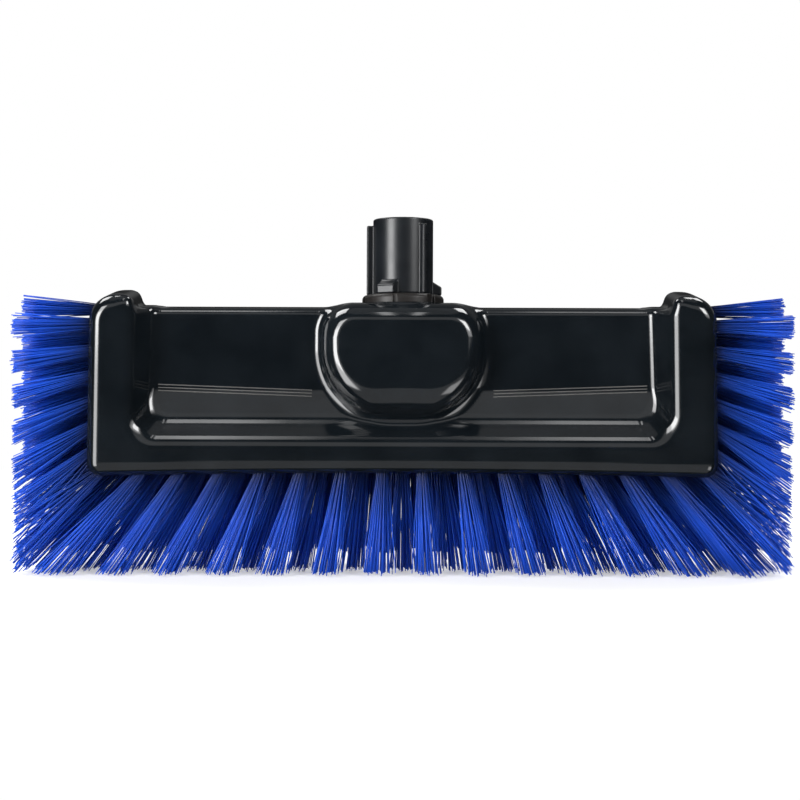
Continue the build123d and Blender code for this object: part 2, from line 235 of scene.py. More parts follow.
def boss_distance(side, back, along):
    """The solid boss, rounded all round, with the collar's seat on top."""
    behind = BOSS_HALF_DEPTH - np.abs(back)
    beside = np.abs(side) - BOSS_HALF_WIDTH - BOSS_SIDE_DRAFT * behind
    below = -along - BOSS_LENGTH - BOSS_LOW_DRAFT * behind
    wall = rounded_box(beside, below, BOSS_BOTTOM + BOSS_LOW_DRAFT * behind)
    wall = rounded_box(wall, along, BOSS_SHOULDER)
    lowness = np.clip((-along - BOSS_LOW_START) / BOSS_LOW_RUN, 0.0, 1.0)
    topness = np.clip(1.0 + along / BOSS_TOP_RUN, 0.0, 1.0)
    edge = BOSS_SIDE_EDGE + (BOSS_LOW_EDGE - BOSS_SIDE_EDGE) * lowness
    edge = edge + (BOSS_TOP_EDGE - BOSS_SIDE_EDGE) * topness
    boss = rounded_box(wall, side * side / (2 * BOSS_CURVE) - behind, edge)
    seat_end = np.maximum(along, -along - SEAT_HEIGHT)
    seat = rounded_box(length2(side, back) - SEAT_RADIUS, seat_end, SEAT_EDGE)
    return joined(boss, seat, SEAT_FILLET)


def block_distance(x, y, z):
    """The moulded block: rim, web and boss, with the socket for the adaptor's shank."""
    across = np.abs(x)
    depth = np.abs(y - MIDDLE_Y)
    up = z - BOTTOM
    half_width = HALF_WIDTH - SIDE_LEAN * up / HEIGHT
    outline = outline_distance(across, up, half_width)
    rim = rim_distance(across, depth, up, outline, half_width - ARM_WIDTH)
    web = web_distance(depth, up, outline)
    near_bar = np.clip((WEB_FOOT_HEIGHT + BAR_FILLET_REACH - up) / BAR_FILLET_REACH, 0.0, 1.0)
    body = joined(rim, web, WEB_FILLET + (BAR_FILLET - WEB_FILLET) * near_bar)

    side, back, along = handle_coordinates(x, y, z)
    body = joined(body, boss_distance(side, back, along), BOSS_FILLET)
    socket = np.maximum(length2(side, back) - SOCKET_RADIUS, -along - SOCKET_DEPTH)
    return without(body, socket, SOCKET_EDGE)


# The adaptor and the collar, in handle coordinates. Each angle is that of the first of three alike,
# in degrees from the front to the right.
collar_low, collar_high = box_mm("collar_ring")
COLLAR_RADIUS = (collar_high[0] - collar_low[0]) / 2
COLLAR_THICKNESS = 4.0
COLLAR_EDGE = 1.9
COLLAR_LOW_EDGE = 0.3
COLLAR_CLEARANCE = 0.06
NOTCH_ANGLE = 44.0
NOTCH_WIDTH = 3.6
NOTCH_DEPTH = 1.4
TICK_ANGLE = -11.0
TICK_WIDTH = 1.4
TICK_DEPTH = 0.8
CUT_CORNER = 0.4
CUT_EDGE = 0.3
SPIGOT_RADIUS = 12.0
SPIGOT_WALL = 2.8
SPIGOT_LENGTH = 30.4
SPIGOT_FLOOR = 4.0
SPIGOT_EDGE = 0.7
RIB_ANGLE = 37.0
RIB_WIDTH = 1.9
RIB_HEIGHT = 2.6
RIB_TOP_GAP = 2.6
RIB_EDGE = 0.5  # and the lugs'
RIB_FILLET = 0.5
LUG_ANGLE = -28.0
LUG_WIDTH = 7.4
LUG_REACH = 3.3
LUG_HEIGHT = 5.2
LUG_CREST = 3.2
LUG_FILLET = 0.4
SHANK_RADIUS = 9.525
SHANK_LENGTH = 20.3
SHANK_INSIDE = 1.0  # how far it runs on into the spigot's floor
SHANK_EDGE = 1.2
SHANK_SCALE = 0.8  # keeps the threaded distance from growing too fast for the skin
THREAD_DEPTH = 1.1
THREAD_FLAT = 1.6  # shape of the thread: how wide its root is,
THREAD_FLANK = 5.0  # how steep its flanks are
THREAD_FADE = 2.0  # and the length over which it fades out at the end


def turned(side, back, angle):
    """The point as seen after turning the three-fold pattern's first member to the front."""
    third = 2 * math.pi / 3
    bearing = np.arctan2(side, -back) - math.radians(angle)
    bearing = (bearing + third / 2) % third - third / 2
    radius = length2(side, back)
    return radius * np.sin(bearing), radius * np.cos(bearing)


def rib_distance(side, back, up):
    """The three ribs that stand out of the spigot."""
    rib_side, rib_out = turned(side, back, RIB_ANGLE)
    rib = rounded_box(np.abs(rib_side) - RIB_WIDTH / 2, rib_out - SPIGOT_RADIUS - RIB_HEIGHT, RIB_EDGE)
    rib = np.maximum(rib, SPIGOT_RADIUS - SPIGOT_WALL / 2 - rib_out)
    rib_top = SPIGOT_LENGTH - RIB_TOP_GAP
    return rounded_box(rib, np.maximum(up - rib_top, -up), RIB_EDGE)


def lug_distance(side, back, up):
    """The three ramped lugs at the spigot's foot."""
    lug_side, lug_out = turned(side, back, LUG_ANGLE)
    crest = (SPIGOT_RADIUS + LUG_REACH, LUG_CREST)
    slope = slab_line(lug_out, up, crest, (SPIGOT_RADIUS, LUG_HEIGHT))
    lug = rounded_box(np.abs(lug_side) - LUG_WIDTH / 2, lug_out - SPIGOT_RADIUS - LUG_REACH, RIB_EDGE)
    lug = np.maximum(lug, SPIGOT_RADIUS - SPIGOT_WALL / 2 - lug_out)
    return rounded_box(lug, np.maximum(slope, -up), RIB_EDGE)


def shank_distance(side, back, along):
    """The shank, with its thread cut in."""
    turn = np.arctan2(side, -back) / (2 * math.pi)
    phase = (along / THREAD_PITCH - turn) % 1.0
    groove = THREAD_DEPTH * np.clip(THREAD_FLAT - THREAD_FLANK * np.abs(phase - 0.5), 0.0, 1.0)
    groove = groove * np.clip((along + SHANK_LENGTH) / THREAD_FADE, 0.0, 1.0)
    return rounded_box(
        (length2(side, back) - SHANK_RADIUS + groove) * SHANK_SCALE,
        np.maximum(-along - SHANK_LENGTH, along - COLLAR_THICKNESS - SHANK_INSIDE),
        SHANK_EDGE,
    )


def adaptor_distance(x, y, z):
    """The hollow spigot with ribs and lugs, and the threaded shank below it."""
    side, back, along = handle_coordinates(x, y, z)
    radius = length2(side, back)
    up = along - COLLAR_THICKNESS
    tube = rounded_box(radius - SPIGOT_RADIUS, np.maximum(up - SPIGOT_LENGTH, -up), SPIGOT_EDGE)
    tube = joined(tube, rib_distance(side, back, up), RIB_FILLET)
    tube = joined(tube, lug_distance(side, back, up), LUG_FILLET)
    bore = np.maximum(radius - SPIGOT_RADIUS + SPIGOT_WALL, SPIGOT_FLOOR - up)
    tube = without(tube, bore, SPIGOT_EDGE)
    return np.minimum(tube, shank_distance(side, back, along))


def collar_distance(x, y, z):
    """The notched collar ring."""
    side, back, along = handle_coordinates(x, y, z)
    radius = length2(side, back)
    ring = rounded_box(radius - COLLAR_RADIUS, along - COLLAR_THICKNESS, COLLAR_EDGE)
    ring = rounded_box(ring, -along, COLLAR_LOW_EDGE)
    for angle, width, depth in (
        (NOTCH_ANGLE, NOTCH_WIDTH, NOTCH_DEPTH),
        (TICK_ANGLE, TICK_WIDTH, TICK_DEPTH),
    ):
        cut_side, cut_out = turned(side, back, angle)
        cut = rounded_box(np.abs(cut_side) - width / 2, COLLAR_RADIUS - depth - cut_out, CUT_CORNER)
        ring = without(ring, cut, CUT_EDGE)
    return without(ring, radius - SHANK_RADIUS - COLLAR_CLEARANCE, COLLAR_LOW_EDGE)


# ---------------------------------------------------------------------------------------------
# Skins

SLOPE_REACH = 0.02
SETTLING_ROUNDS = 8
LARGEST_MOVE = 0.6  # in grid steps, per round
SMALLEST_SLOPE = 0.25  # squared


def gradient(distance, points):
    """The distance function's slope at each point."""
    slope = np.empty_like(points)
    for axis in range(3):
        ahead = points.copy()
        behind = points.copy()
        ahead[:, axis] += SLOPE_REACH
        behind[:, axis] -= SLOPE_REACH
        slope[:, axis] = distance(*ahead.T) - distance(*behind.T)
    return slope / (2 * SLOPE_REACH)


def crossed_cells(inside):
    """The grid cells that the surface passes through, and the grid of their numbers."""
    filled = np.zeros(tuple(n - 1 for n in inside.shape), int)
    for shifts in np.ndindex(2, 2, 2):
        part = tuple(slice(shift, n - 1 + shift) for n, shift in zip(inside.shape, shifts))
        filled += inside[part]
    cells = np.argwhere((filled > 0) & (filled < 8))
    number = -np.ones(filled.shape, int)
    number[tuple(cells.T)] = np.arange(len(cells))
    return cells, number


def cell_faces(inside, number):
    """A four-sided face round each grid edge that the surface crosses, facing outward."""
    faces = []
    for axis in range(3):
        start = [slice(None)] * 3
        stop = [slice(None)] * 3
        start[axis] = slice(0, -1)
        stop[axis] = slice(1, None)
        one, two = inside[tuple(start)], inside[tuple(stop)]
        across, beyond = (axis + 1) % 3, (axis + 2) % 3
        for leaving in (True, False):
            edges = np.argwhere((one & ~two) if leaving else (~one & two))
            corners = []
            for a, b in ((1, 1), (0, 1), (0, 0), (1, 0)):
                cell = edges.copy()
                cell[:, across] -= a
                cell[:, beyond] -= b
                corners.append(number[tuple(cell.T)])
            quads = np.array(corners).T
            faces.append(quads if leaving else quads[:, ::-1])
    return np.concatenate(faces)


def settled(distance, points, step):
    """The points after they have moved onto the surface."""
    for _ in range(SETTLING_ROUNDS):
        value = distance(*points.T)
        slope = gradient(distance, points)
        size = np.maximum((slope**2).sum(1), SMALLEST_SLOPE)
        move = -slope * (value / size)[:, None]
        reach = np.linalg.norm(move, axis=1, keepdims=True)
        points = points + move * np.minimum(1.0, LARGEST_MOVE * step / np.maximum(reach, 1e-9))
    return points


def skin(distance, low, high, step):
    """Points, four-sided faces and normals of the surface where the distance is zero."""
    ticks = [np.arange(low[i] - 2 * step, high[i] + 2 * step, step) for i in range(3)]
    inside = distance(*np.meshgrid(*ticks, indexing="ij")) < 0
    cells, number = crossed_cells(inside)
    points = np.array([ticks[i][cells[:, i]] for i in range(3)]).T + step / 2
    points = settled(distance, points, step)
    normals = gradient(distance, points)
    normals /= np.maximum(np.linalg.norm(normals, axis=1, keepdims=True), 1e-9)
    return points, cell_faces(inside, number), normals


def new_object(name, data):
    """An object in the scene with this data."""
    item = bpy.data.objects.new(name, data)
    bpy.context.scene.collection.objects.link(item)
    return item


def mesh_object(name, points, face_groups, material):
    """A shown mesh object from points in millimetres. Faces of one group have the same number of sides."""
    corners = np.concatenate([faces.ravel() for faces in face_groups])
    sides = np.concatenate([np.full(len(faces), faces.shape[1]) for faces in face_groups])
    mesh = bpy.data.meshes.new(name)
    mesh.vertices.add(len(points))
    mesh.vertices.foreach_set("co", (points * MM).ravel())
    mesh.loops.add(len(corners))
    mesh.loops.foreach_set("vertex_index", corners)
    mesh.polygons.add(len(sides))
    mesh.polygons.foreach_set("loop_start", np.cumsum(sides) - sides)
    mesh.polygons.foreach_set("use_smooth", np.ones(len(sides), bool))
    mesh.update(calc_edges=True)
    mesh.validate()
    mesh.materials.append(material)
    return new_object(name, mesh)


def moulded_piece(name, node, distance, step, material):
    """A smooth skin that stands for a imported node."""
    low, high = box_mm(node)
    points, faces, normals = skin(distance, low, high, step)
    piece = mesh_object(name, points, [faces], material)
    piece.data.normals_split_custom_set_from_vertices(normals)
    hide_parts(node)
    return piece


# ---------------------------------------------------------------------------------------------
# Thin tubes: the filaments, and the fine raised lines on the web

TUBE_RINGS = 5
TUBE_TAPER = 0.12  # how much thinner a tube is at its end
TUBE_TIP = 0.35  # height of its pointed end, in radii


def tube_faces(sides):
    """The faces of one tube: its four-sided walls and the triangles round its tip."""
    walls = []
    for ring in range(TUBE_RINGS - 1):
        for k in range(sides):
            a = ring * sides + k
            b = ring * sides + (k + 1) % sides
            walls.append((a, b, b + sides, a + sides))
    last = (TUBE_RINGS - 1) * sides
    tip = TUBE_RINGS * sides
    caps = [(last + k, last + (k + 1) % sides, tip) for k in range(sides)]
    return np.array(walls), np.array(caps)


def tube_directions(starts, ends):
    """Each tube's direction and two directions across it."""
    direction = (ends - starts) / np.linalg.norm(ends - starts, axis=1, keepdims=True)
    level = np.abs(direction[:, 1:2]) < 0.9
    helper = np.where(level, np.array([[0.0, 1.0, 0.0]]), np.array([[1.0, 0.0, 0.0]]))
    first = np.cross(direction, helper)
    first /= np.linalg.norm(first, axis=1, keepdims=True)
    return direction, first, np.cross(direction, first)


def thin_tubes(starts, ends, bows, radius, sides):
    """Tapered tubes from starts to ends that bow sideways: their points, walls and caps."""
    direction, first, second = tube_directions(starts, ends)
    along = np.linspace(0, 1, TUBE_RINGS)
    bend = along * along * (1.5 - 0.5 * along)  # as a beam bends that is held at its start
    centre = starts[:, None, :] + (ends - starts)[:, None, :] * along[None, :, None]
    centre = centre + bows[:, None, :] * bend[None, :, None]

    turn = np.arange(sides) * 2 * math.pi / sides
    circle = first[:, None, :] * np.cos(turn)[None, :, None]
    circle = circle + second[:, None, :] * np.sin(turn)[None, :, None]
    thickness = radius[:, None] * (1.0 - TUBE_TAPER * along)[None, :]
    rings = centre[:, :, None, :] + circle[:, None, :, :] * thickness[:, :, None, None]

    count = len(starts)
    tips = centre[:, -1, :] + direction * radius[:, None] * TUBE_TIP
    points = np.concatenate([rings.reshape(count, -1, 3), tips[:, None, :]], 1)
    walls, caps = tube_faces(sides)
    base = (np.arange(count) * points.shape[1])[:, None, None]
    return points.reshape(-1, 3), (walls[None] + base).reshape(-1, 4), (caps[None] + base).reshape(-1, 3)


LINE_SIDES = 8
LINE_RADIUS = 0.24
LINE_SPACING = 1.2
LINE_OUTER_END = (97.0, 34.8)  # across and up
LINE_INNER_END = (36.0, 32.7)


def web_half(up):
    """Half the web's thickness at a height above the block's bottom."""
    heights = (WEB_FOOT_HEIGHT, WEB_BEND_HEIGHT, HEIGHT)
    return np.interp(up, heights, (WEB_FOOT_HALF, WEB_BEND_HALF, WEB_TOP_HALF))


def bend_lines(material):
    """Three fine lines along each half of the web's bend, front and back."""
    starts, ends = [], []
    for side in (-1, 1):
        for face in (-1, 1):
            for index in (-1, 0, 1):
                for group, (across, up) in ((starts, LINE_OUTER_END), (ends, LINE_INNER_END)):
                    height = up + index * LINE_SPACING
                    group.append((side * across, MIDDLE_Y + face * web_half(height), BOTTOM + height))
    starts, ends = np.array(starts), np.array(ends)
    radius = np.full(len(starts), LINE_RADIUS)
    points, walls, _ = thin_tubes(starts, ends, np.zeros_like(starts), radius, LINE_SIDES)
    return mesh_object("bend_lines", points, [walls], material)


# ---------------------------------------------------------------------------------------------
# Bristles

FILAMENTS = 66  # in a tuft
FILAMENT_SIDES = 5
FILAMENT_RADIUS = 0.225
ROOT_DEPTH = 0.8  # of the slice of a packed tuft that is taken as its root end
START_INSIDE = 4.0  # filaments are drawn from this far above the root end
START_RADIUS = 1.89  # of the tuft there
START_JITTER = 0.05  # of each filament in it, as a share of the radius
SPREAD = 0.080  # how fast a tuft widens, per millimetre
STRAYS = 0.03  # share of the filaments that stand off from their tuft
STRAY_SPREAD = 0.06  # how far a stray's heading wanders
USUAL_SPREAD = 0.010  # and that of the others
TUFT_VARIATION = (0.85, 1.15)
FILAMENT_VARIATION = (0.75, 1.25)
RADIUS_VARIATION = (0.9, 1.08)
BOW = 0.35
LONGEST = 62.0
TIP_CLEARANCE = 0.35  # between a filament's end and the trim
TIP_UNEVENNESS = 1.1  # filaments are up to this much shorter,
TIP_WEAR = 0.5  # and on average this much more
LOWEST_BOW = 0.3  # filaments that would bow below this height don't bow up or down
TRIM_SIDE = (cad_bounds[1][0] - cad_bounds[0][0]) / 2 / MM
BOTTOM_TRIMS = (0.0, 0.0, 5.5, 5.5)  # how much shorter each row is, from the front
SIDE_TRIMS = (0.0, 2.6, 4.0, 4.0)

# Tufts near a low corner of the block open into the gap between the bottom's tufts and the side's.
# Both places are across and up, from the block's low corner.
CORNER = (0.0, 4.0)
GAP = (14.0, -8.0)
OPEN_REACH = 22.0  # how far from the corner tufts open
OPEN_FADE = 10.0
OPEN_SPREAD = 4.0
OPEN_SHARE = 0.3  # shifts how much of a tuft joins in


def islands(node):
    """Vertices, in millimetres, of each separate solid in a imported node."""
    mesh = frame["nodes"][node].data
    points = np.array([v.co for v in mesh.vertices]) / MM
    keys, inverse = np.unique(np.round(points, 3), axis=0, return_inverse=True)
    inverse = inverse.ravel()
    parent = np.arange(len(keys))

    def root(index):
        while parent[index] != index:
            parent[index] = parent[parent[index]]
            index = parent[index]
        return index

    for edge in mesh.edges:
        a, b = (root(inverse[v]) for v in edge.vertices)
        parent[a] = b
    label = np.array([root(i) for i in range(len(keys))])
    return [keys[label == value] for value in np.unique(label)]


def tuft_axis(points):
    """The middle of a tuft's root end and the direction in which it leaves the block."""
    centre = points.mean(0)
    spread = np.linalg.svd(points - centre, full_matrices=False)[2][0]
    outward = centre - np.array([0.0, MIDDLE_Y, BOTTOM + HEIGHT / 2])
    if spread @ outward < 0:
        spread = -spread
    reach = (points - centre) @ spread
    end = points[reach < reach.min() + ROOT_DEPTH]
    root = end.mean(0)
    normal = np.linalg.svd(end - root, full_matrices=False)[2][2]
    return root, normal if normal @ spread > 0 else -normal


def sunflower(count):
    """Evenly spread points on the unit disc."""
    index = np.arange(count) + 0.5
    angle = index * math.pi * (3 - math.sqrt(5))
    radius = np.sqrt(index / count)
    return np.stack([radius * np.cos(angle), radius * np.sin(angle)], 1)


def corner_pull(root, direction):
    """The way sideways from a tuft to the gap at the corner, and how far the tuft opens that way."""
    corner = np.array([math.copysign(HALF_WIDTH + CORNER[0], root[0]), BOTTOM + CORNER[1]])
    openness = np.clip((OPEN_REACH - np.linalg.norm(root[[0, 2]] - corner)) / OPEN_FADE, 0.0, 1.0)
    gap = np.array([math.copysign(HALF_WIDTH + GAP[0], root[0]), root[1], BOTTOM + GAP[1]]) - root
    gap -= (gap @ direction) * direction
    return gap / np.linalg.norm(gap), openness


def filament_headings(root, direction, flat):
    """The direction of each filament of a tuft, from its place across the tuft."""
    gap, openness = corner_pull(root, direction)
    lean = SPREAD * random.uniform(*TUFT_VARIATION)
    loose = np.where(random.random((FILAMENTS, 1)) < STRAYS, STRAY_SPREAD, USUAL_SPREAD)
    splay = flat * lean * random.uniform(*FILAMENT_VARIATION, (FILAMENTS, 1))
    facing = np.clip(flat @ gap + OPEN_SHARE, 0.0, 1.0 + OPEN_SHARE)[:, None]
    splay = splay + gap * facing * lean * OPEN_SPREAD * openness
    splay = splay + random.normal(0, 1, (FILAMENTS, 3)) * loose
    heading = direction + splay
    return heading / np.linalg.norm(heading, axis=1, keepdims=True)


def trimmed_length(start, direction, row):
    """How far each filament runs before the trim at the bottom or at the sides."""
    falling = np.minimum(direction[:, 2], -1e-3)
    outward = np.maximum(np.abs(direction[:, 0]), 1e-3)
    down = (BOTTOM_TRIMS[row] - start[:, 2]) / falling
    side = (TRIM_SIDE - SIDE_TRIMS[row] - start[:, 0] * np.sign(direction[:, 0])) / outward
    return np.minimum(down, side)


def tuft_filaments(root, direction, row):
    """Where every filament of one tuft starts and ends, and how it bows."""
    first = np.cross(direction, np.array([0.0, 1.0, 0.0]))
    first /= np.linalg.norm(first)
    second = np.cross(direction, first)
    disc = sunflower(FILAMENTS) + random.normal(0, START_JITTER, (FILAMENTS, 2))
    flat = disc[:, :1] * first + disc[:, 1:] * second
    start = root + direction * START_INSIDE + flat * START_RADIUS
    heading = filament_headings(root, direction, flat)
    length = np.minimum(trimmed_length(start, heading, row) - TIP_CLEARANCE, LONGEST)
    length -= random.uniform(0, TIP_UNEVENNESS, FILAMENTS) + random.exponential(TIP_WEAR, FILAMENTS)
    end = start + heading * length[:, None]
    bows = random.normal(0, BOW, (FILAMENTS, 3))
    bows -= (bows * heading).sum(1, keepdims=True) * heading
    bows[end[:, 2] + bows[:, 2] < LOWEST_BOW, 2] = 0.0
    return start, end, bows


def row_of(node):
    """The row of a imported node's tufts, counted from 0 at the front."""
    return int(node.split("_")[1]) - 1 if node.startswith("row") else 0


def bristle_piece(name, node, material):
    """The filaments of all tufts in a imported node, as one piece that stands for it."""
    tufts = [tuft_filaments(*tuft_axis(points), row_of(node)) for points in islands(node)]
    starts, ends, bows = (np.concatenate(group) for group in zip(*tufts))
    radius = FILAMENT_RADIUS * random.uniform(*RADIUS_VARIATION, len(starts))
    points, walls, caps = thin_tubes(starts, ends, bows, radius, FILAMENT_SIDES)
    piece = mesh_object(name, points, [walls, caps], material)
    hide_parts(node)
    return piece


# ---------------------------------------------------------------------------------------------
# Materials

PLASTIC_BUMP = 0.12
PLASTIC_RIPPLE = 0.00002  # height of the moulded surface's unevenness, in metres
SWELL_SHARE = 6.0  # how much more of it is slow swell than fine grain
PLASTIC_MARKS = 0.07  # how much rougher it is where it has been handled
BRISTLE_BLUES = ((0.005, 0.050, 0.41), (0.018, 0.115, 0.78))  # of the darkest and lightest filament
BRISTLE_ROOT_SHADE = (0.001, 0.007, 0.045)  # painted shade on the filaments near their roots, where the tufts are packed
ROOT_SHADE_END = (-0.002, 0.018)  # metres out of the block, over which that painted shade ends


def new_material(name):
    """A node material, its nodes' tree and its Principled shader."""
    material = bpy.data.materials.new(name)
    material.use_nodes = True
    tree = material.node_tree
    return material, tree, tree.nodes["Principled BSDF"]


def noise(tree, scale, detail, stretch=(1.0, 1.0, 1.0)):
    """The value of a noise texture in object coordinates."""
    place = tree.nodes.new("ShaderNodeTexCoord")
    mapping = tree.nodes.new("ShaderNodeMapping")
    mapping.inputs["Scale"].default_value = stretch
    texture = tree.nodes.new("ShaderNodeTexNoise")
    texture.inputs["Scale"].default_value = scale
    texture.inputs["Detail"].default_value = detail
    tree.links.new(place.outputs["Object"], mapping.inputs["Vector"])
    tree.links.new(mapping.outputs["Vector"], texture.inputs["Vector"])
    return texture.outputs["Fac"]


def ramp(tree, source, low, high, start=0.3, stop=0.7):
    """The source's values from start to stop, spread from low to high."""
    spread = tree.nodes.new("ShaderNodeMapRange")
    spread.inputs["From Min"].default_value = start
    spread.inputs["From Max"].default_value = stop
    spread.inputs["To Min"].default_value = low
    spread.inputs["To Max"].default_value = high
    tree.links.new(source, spread.inputs["Value"])
    return spread.outputs["Result"]


def math_node(tree, operation, *values):
    """The result of one operation on values, each a number or a socket."""
    node = tree.nodes.new("ShaderNodeMath")
    node.operation = operation
    for socket, value in zip(node.inputs, values):
        if isinstance(value, (int, float)):
            socket.default_value = value
        else:
            tree.links.new(value, socket)
    return node.outputs["Value"]


def mixed_color(tree, factor, color_a, color_b):
    """A colour between a and b. Each is a colour or a socket."""
    mix = tree.nodes.new("ShaderNodeMix")
    mix.data_type = "RGBA"
    tree.links.new(factor, mix.inputs["Factor"])
    for socket, color in ((mix.inputs["A"], color_a), (mix.inputs["B"], color_b)):
        if isinstance(color, tuple):
            socket.default_value = (*color, 1.0)
        else:
            tree.links.new(color, socket)
    return mix.outputs["Result"]


def add_bump(tree, shader, height, strength, distance):
    """Give the shader's surface a relief of the height."""
    bump = tree.nodes.new("ShaderNodeBump")
    bump.inputs["Strength"].default_value = strength
    bump.inputs["Distance"].default_value = distance
    tree.links.new(height, bump.inputs["Height"])
    tree.links.new(bump.outputs["Normal"], shader.inputs["Normal"])


def moulded_plastic(name, color, roughness, shine):
    """Black moulded plastic: fine ripple, faint handling marks, uneven gloss."""
    material, tree, shader = new_material(name)
    shader.inputs["Specular IOR Level"].default_value = shine
    lighter = tuple(1.5 * c + 0.002 for c in color)
    cloud = ramp(tree, noise(tree, scale=60.0, detail=4.0), 0.0, 1.0)
    tree.links.new(mixed_color(tree, cloud, color, lighter), shader.inputs["Base Color"])
    marks = noise(tree, scale=35.0, detail=6.0, stretch=(1.0, 1.0, 6.0))
    marked = ramp(tree, marks, roughness, roughness + PLASTIC_MARKS)
    tree.links.new(marked, shader.inputs["Roughness"])
    swell = noise(tree, scale=45.0, detail=1.0)
    grain = noise(tree, scale=900.0, detail=2.0)
    relief = math_node(tree, "MULTIPLY_ADD", swell, SWELL_SHARE, grain)
    add_bump(tree, shader, relief, PLASTIC_BUMP, PLASTIC_RIPPLE)
    return material


def out_of_block(tree):
    """How far a point lies outside the block's bottom or sides, in metres."""
    place = tree.nodes.new("ShaderNodeTexCoord")
    split = tree.nodes.new("ShaderNodeSeparateXYZ")
    tree.links.new(place.outputs["Object"], split.inputs["Vector"])
    across = math_node(tree, "ABSOLUTE", split.outputs["X"])
    beside = math_node(tree, "SUBTRACT", across, HALF_WIDTH * MM)
    below = math_node(tree, "SUBTRACT", BOTTOM * MM, split.outputs["Z"])
    return math_node(tree, "MAXIMUM", beside, below)


def bristle_material():
    """Blue extruded filament: each one a little different, with painted shade near the block where the tufts are
    packed.
    """
    material, tree, shader = new_material("blue_filament")
    shader.inputs["Specular IOR Level"].default_value = 0.25
    geometry = tree.nodes.new("ShaderNodeNewGeometry")
    tint = mixed_color(tree, geometry.outputs["Random Per Island"], *BRISTLE_BLUES)
    # painted shade: the filaments darken towards the block, where the packed tufts shade one another
    unshaded = ramp(tree, out_of_block(tree), 0.0, 1.0, *ROOT_SHADE_END)
    tree.links.new(mixed_color(tree, unshaded, BRISTLE_ROOT_SHADE, tint), shader.inputs["Base Color"])
    streak = noise(tree, scale=300.0, detail=2.0)
    tree.links.new(ramp(tree, streak, low=0.28, high=0.42), shader.inputs["Roughness"])
    add_bump(tree, shader, streak, strength=0.2, distance=0.00005)
    return material


def wire_material():
    """Drawn stainless wire."""
    material, tree, shader = new_material("drawn_wire")
    shader.inputs["Metallic"].default_value = 1.0
    drawn = noise(tree, scale=800.0, detail=2.0, stretch=(1.0, 0.1, 1.0))
    tint = mixed_color(tree, drawn, (0.55, 0.55, 0.53), (0.7, 0.7, 0.68))
    tree.links.new(tint, shader.inputs["Base Color"])
    tree.links.new(ramp(tree, drawn, low=0.25, high=0.4), shader.inputs["Roughness"])
    return material


# ---------------------------------------------------------------------------------------------
# The brush

bodies = {}
for body, body_nodes in frame["record"]["behaviour"]["bodies"].items():
    for node in body_nodes:
        bodies[node] = body


# The plastics: name, colour, roughness and shine
BLOCK_PLASTIC = ("block_plastic", (0.0036, 0.0054, 0.0072), 0.06, 0.5)
ADAPTOR_PLASTIC = ("adaptor_plastic", (0.0040, 0.0052, 0.0068), 0.27, 0.30)
COLLAR_PLASTIC = ("collar_plastic", (0.0085, 0.0075, 0.0070), 0.38, 0.22)
# The bend lines are raised tubes, and their plastic is a lighter grey than the block's: a painted highlight for
# the reflections along the web's bend
LINE_HIGHLIGHT_PLASTIC = ("line_highlight_plastic", (0.085, 0.083, 0.080), 0.30, 0.5)

# Sizes of the grid steps in the skins
BLOCK_STEP = 0.85
ADAPTOR_STEP = 0.36
COLLAR_STEP = 0.3


def build_mouldings():
    """The block, the adaptor and the collar, and the fine lines on the block."""
    coarse = 1.0
    for name, node, distance, step, plastic in (
        ("block_moulding", "brush_block", block_distance, BLOCK_STEP, BLOCK_PLASTIC),
        ("adaptor_moulding", "handle_adaptor", adaptor_distance, ADAPTOR_STEP, ADAPTOR_PLASTIC),
        ("collar_moulding", "collar_ring", collar_distance, COLLAR_STEP, COLLAR_PLASTIC),
    ):
        material = moulded_plastic(*plastic)
        piece = moulded_piece(name, node, distance, step * coarse, material)
        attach(piece, bodies[node])
    lines = bend_lines(moulded_plastic(*LINE_HIGHLIGHT_PLASTIC))
    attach(lines, bodies["brush_block"])


def build_bristles():
    """The filaments of every packed tuft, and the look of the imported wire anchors."""
    blue = bristle_material()
    wire = wire_material()
    for node in sorted(frame["nodes"]):
        if "tuft" in node:
            piece = bristle_piece(f"{node}_filaments", node, blue)
            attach(piece, bodies[node])
        if "anchor" in node:
            frame["nodes"][node].data.materials.clear()
            frame["nodes"][node].data.materials.append(wire)


# ---------------------------------------------------------------------------------------------
# Floor, studio, lamps and camera

FLOOR_HALF = 6000.0  # millimetres
FLOOR_GLOW = 0.45  # what the camera sees of it on top of its lit colour
FLOOR_FADE = (0.2, 0.4)  # metres from the middle, over which the floor turns plain white

# What the glossy plastic mirrors, as patches of the studio: from and to in degrees left of the
# front, from and to in degrees above level, and brightness.
STUDIO = (
    (36.0, 62.0, -30.0, 20.0, 11.0),  # tall softbox at the left
    (28.0, 40.0, -24.0, 20.0, 1.5),  # its dimmer side
    (-62.0, -34.0, 12.0, 38.0, 5.0),  # softbox at the right
    (-62.0, -36.0, -44.0, -20.0, 5.0),  # its white foot
    (-60.0, 60.0, -72.0, -9.5, 0.6),  # pale table in front
    (-50.0, 50.0, 18.0, 42.0, 0.8),  # wall above the camera
    (120.0, 185.0, 7.0, 20.0, 0.25),  # room behind, left
    (120.0, 185.0, 20.0, 60.0, 0.12),
    (-185.0, -120.0, 7.0, 20.0, 0.25),  # room behind, right
    (-185.0, -120.0, 20.0, 60.0, 0.12),
    (-185.0, 185.0, 64.0, 95.0, 0.35),  # pale ceiling
)
STUDIO_DARK = 0.025
STUDIO_EDGE = 3.0  # softness of each patch's edge, in degrees

# Two long lamps overhead: from and to leftward, as parts of a direction of length one, and brightness
OVERHEAD = (
    (0.050, 0.110, 6.0),
    (-0.100, -0.050, 5.0),
)
OVERHEAD_REACH = (0.14, 0.55)  # of both lamps, frontward
OVERHEAD_EDGE = 0.01
OVERHEAD_RISE = (0.3, 0.4)  # upward, over which they come in
AMBIENT = 0.14  # soft fill light from all round, on everything that isn't a reflection

